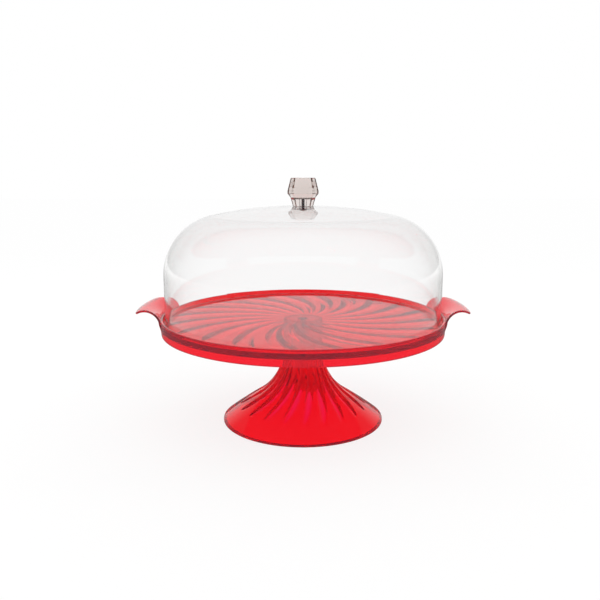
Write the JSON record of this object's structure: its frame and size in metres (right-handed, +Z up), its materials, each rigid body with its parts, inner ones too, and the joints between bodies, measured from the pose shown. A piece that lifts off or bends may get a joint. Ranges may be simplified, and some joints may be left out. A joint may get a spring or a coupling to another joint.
{
  "type": "cake stand with dome",
  "caption": "Footed cake stand with a swirl-fluted trumpet pedestal, a rimmed tray with two curled handles, and a clear lift-off dome with a faceted knob.",
  "frame": {"origin": "centre of the foot's footprint, on the surface that the stand rests on", "axes": "+X along the line through the two handles, +Z up, along the stand's axis"},
  "size_m": [0.362, 0.3118, 0.2683],
  "materials": {
    "clear_red": "polished clear red acrylic",
    "clear": "polished clear acrylic",
    "clear_cut": "polished clear acrylic, faceted",
    "steel": "plated screw",
    "nylon": "natural nylon"
  },
  "bodies": {
    "stand": {"tray": "clear_red", "pedestal": "clear_red", "pedestal_screw": "steel", "pedestal_washer": "nylon"},
    "cover": {"dome": "clear", "knob": "clear_cut", "knob_screw": "steel", "knob_washer": "nylon"}
  },
  "joints": [
    {"name": "dome_lift", "type": "slide", "parent": "stand", "child": "cover", "axis": [0, 0, 1], "range_m": [0, 0.16]}
  ]
}
